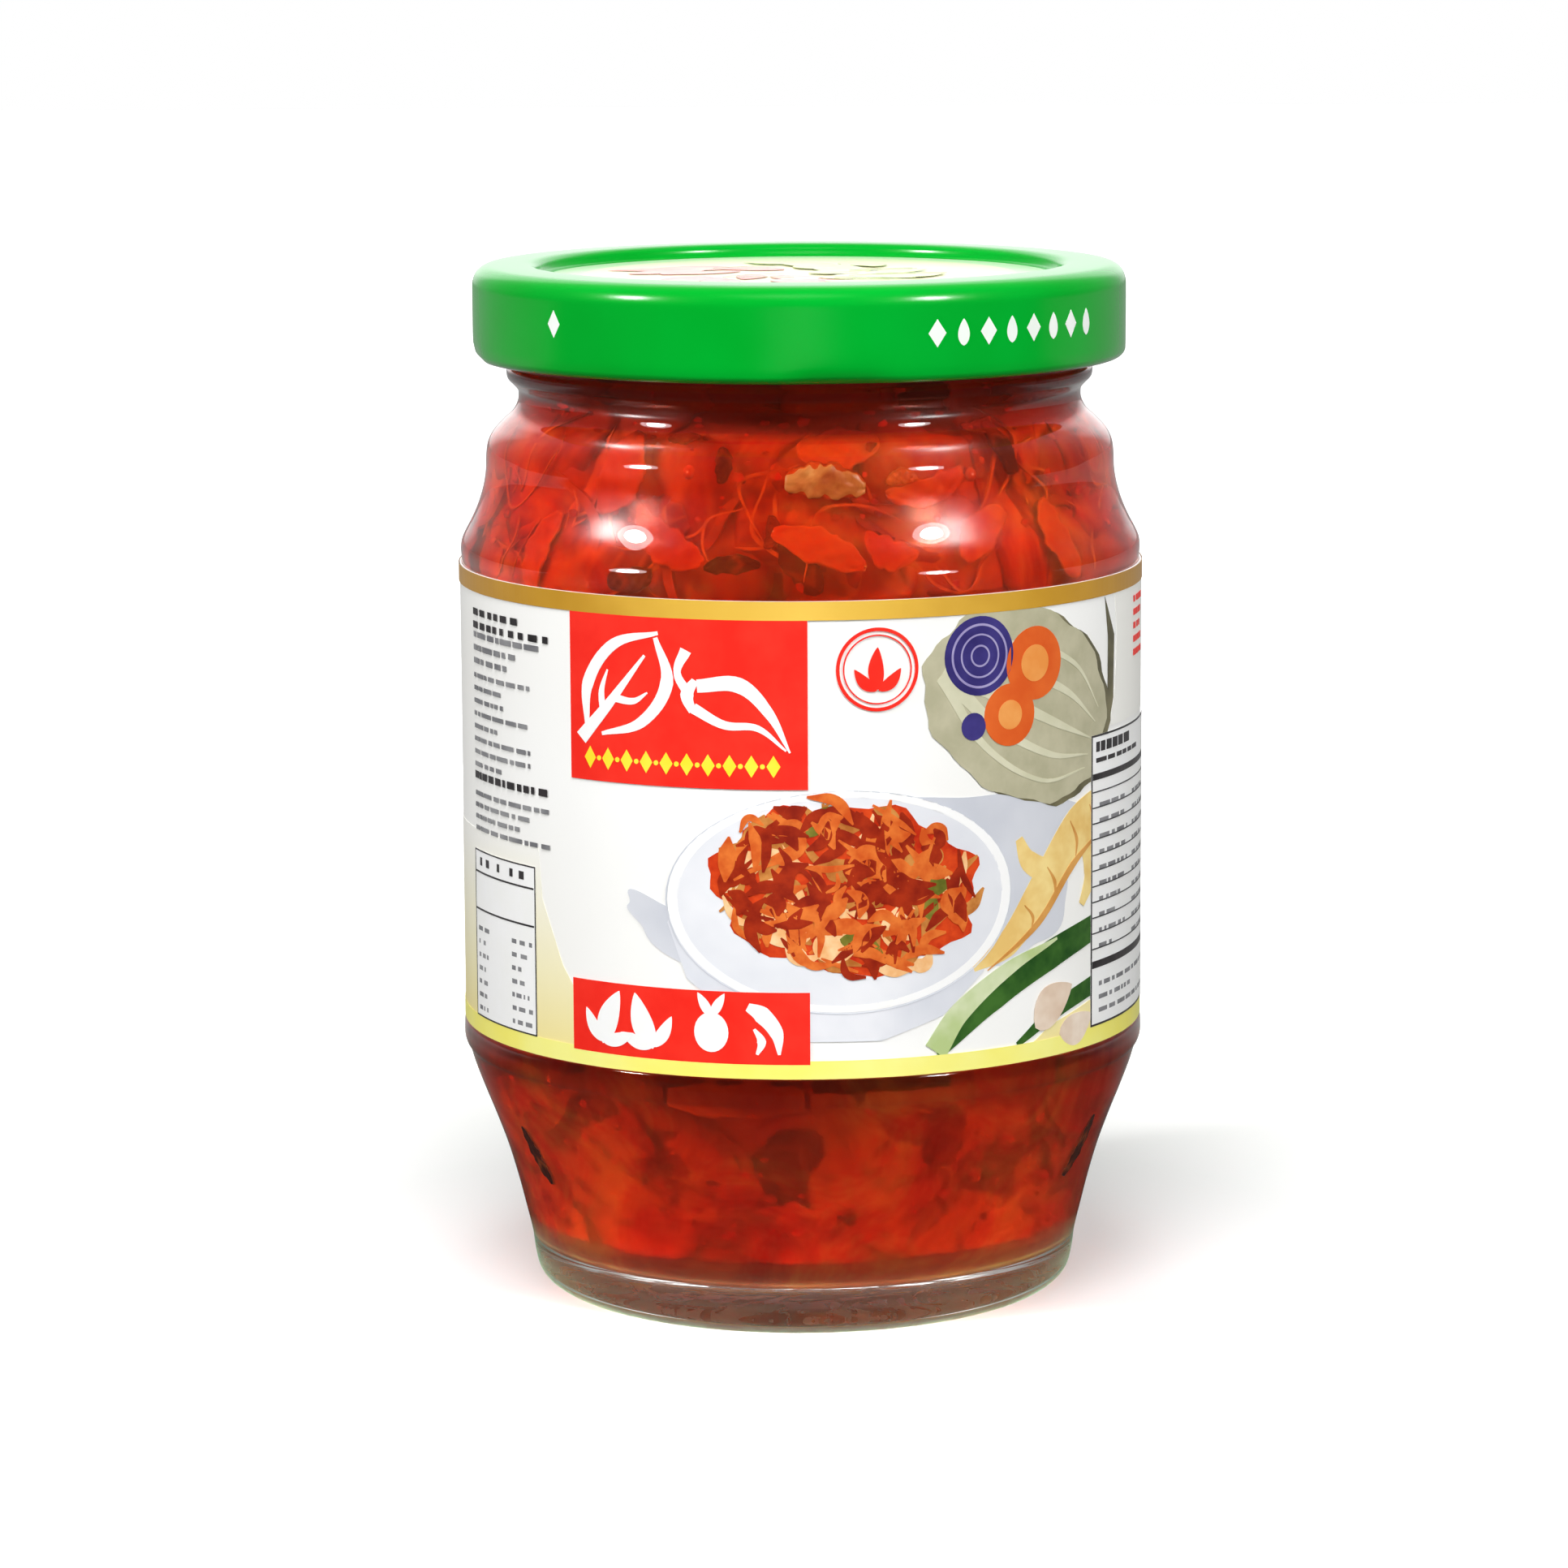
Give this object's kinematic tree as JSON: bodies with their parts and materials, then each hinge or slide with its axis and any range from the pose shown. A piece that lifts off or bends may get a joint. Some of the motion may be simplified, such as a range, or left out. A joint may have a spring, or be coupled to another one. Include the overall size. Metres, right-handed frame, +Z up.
{
  "type": "jar of kimchi",
  "caption": "Shut round glass jar packed with red cabbage kimchi, with a green metal lug cap, a tapered foot, a waisted shoulder and a wrap-around printed label.",
  "frame": {"origin": "centre of the ring that the jar stands on, at its lowest point", "axes": "+Z up along the jar's axis, towards the cap; -Y towards the front of the label; +X to the right as the label is read"},
  "size_m": [0.077, 0.077, 0.1158],
  "materials": {
    "clear_glass": "smooth clear soda-lime glass",
    "green_lacquer": "glossy green lacquer on tinplate",
    "printed_paper": null,
    "kimchi": "wet red chilli-coated cabbage"
  },
  "bodies": {
    "root": {"jar": "clear_glass", "lid": "green_lacquer", "label": "printed_paper", "kimchi": "kimchi"}
  },
  "joints": []
}
